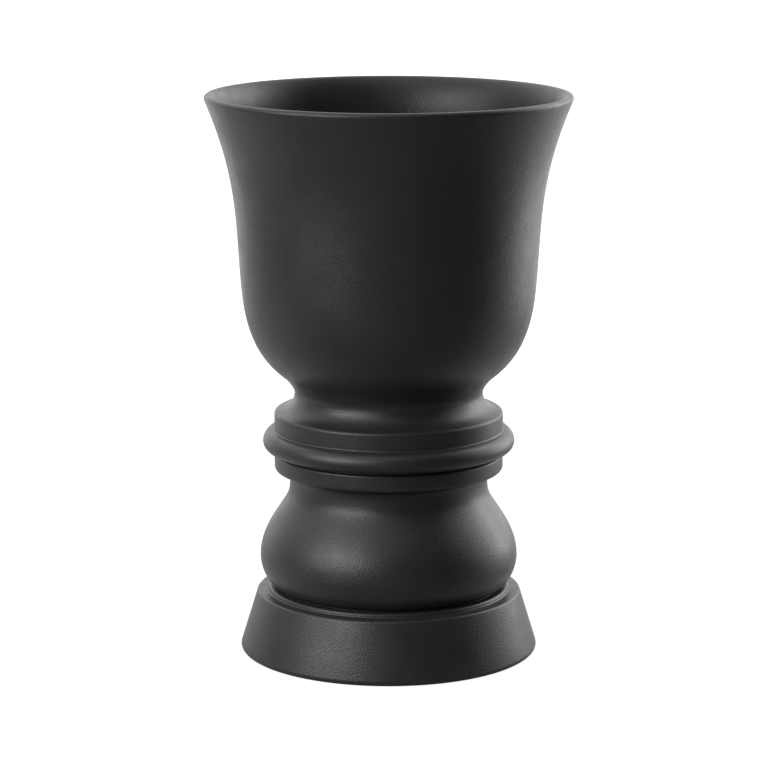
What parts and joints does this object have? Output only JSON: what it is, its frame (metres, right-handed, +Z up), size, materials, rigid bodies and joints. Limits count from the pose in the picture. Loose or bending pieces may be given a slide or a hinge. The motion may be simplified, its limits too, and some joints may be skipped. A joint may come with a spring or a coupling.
{
  "type": "floor planter",
  "caption": "Tall goblet floor planter: a flared cup on a turned stem and conical base, with a lift-out liner that stores its own water.",
  "frame": {"origin": "middle of the base, on the floor", "axes": "+Z up, -Y to the front, +X to the right as seen from the front"},
  "size_m": [0.6473, 0.6474, 1],
  "materials": {
    "shell_plastic": "satin with a fine grain",
    "liner_plastic": "matte",
    "handle_plastic": "satin",
    "insert_plastic": "matte",
    "cup_plastic": "matte",
    "cap_plastic": "satin",
    "clear_plastic": "clear",
    "float_plastic": "smooth",
    "marker_plastic": "glossy",
    "plug_rubber": "matte"
  },
  "bodies": {
    "shell": {"outer_shell": "shell_plastic"},
    "shell_plug": {"shell_plug": "plug_rubber"},
    "liner": {"liner_pot": "liner_plastic"},
    "liner_plug": {"liner_plug": "plug_rubber"},
    "handle_left": {"handle_left": "handle_plastic"},
    "handle_right": {"handle_right": "handle_plastic"},
    "separator": {"separator_plate": "insert_plastic", "wick_cups": "cup_plastic", "fill_tube": "insert_plastic", "gauge_tube": "insert_plastic", "gauge_dome": "clear_plastic"},
    "fill_cap": {"fill_cap": "cap_plastic"},
    "float": {"gauge_float": "float_plastic", "gauge_stem": "float_plastic", "gauge_marker": "marker_plastic"}
  },
  "joints": [
    {"name": "shell_plug_pull", "type": "slide", "parent": "shell", "child": "shell_plug", "axis": [0, 0, -1], "range_m": [0, 0.035]},
    {"name": "liner_lift", "type": "slide", "parent": "shell", "child": "liner", "axis": [0, 0, 1], "range_m": [0, 0.5]},
    {"name": "liner_plug_pull", "type": "slide", "parent": "liner", "child": "liner_plug", "axis": [0, 0, -1], "range_m": [0, 0.03]},
    {"name": "handle_left_fold", "type": "hinge", "parent": "liner", "child": "handle_left", "pos_m": [-0.013, 0, 0.9093], "axis": [0, -1, 0], "range_deg": [-90, 0]},
    {"name": "handle_right_fold", "type": "hinge", "parent": "liner", "child": "handle_right", "pos_m": [0.013, 0, 0.9093], "axis": [0, 1, 0], "range_deg": [-90, 0]},
    {"name": "separator_lift", "type": "slide", "parent": "liner", "child": "separator", "axis": [0, 0, 1], "range_m": [0, 0.45]},
    {"name": "cap_pull", "type": "slide", "parent": "separator", "child": "fill_cap", "axis": [0, 0, 1], "range_m": [0, 0.06]},
    {"name": "float_rise", "type": "slide", "parent": "separator", "child": "float", "axis": [0, 0, 1], "range_m": [0, 0.04]}
  ]
}
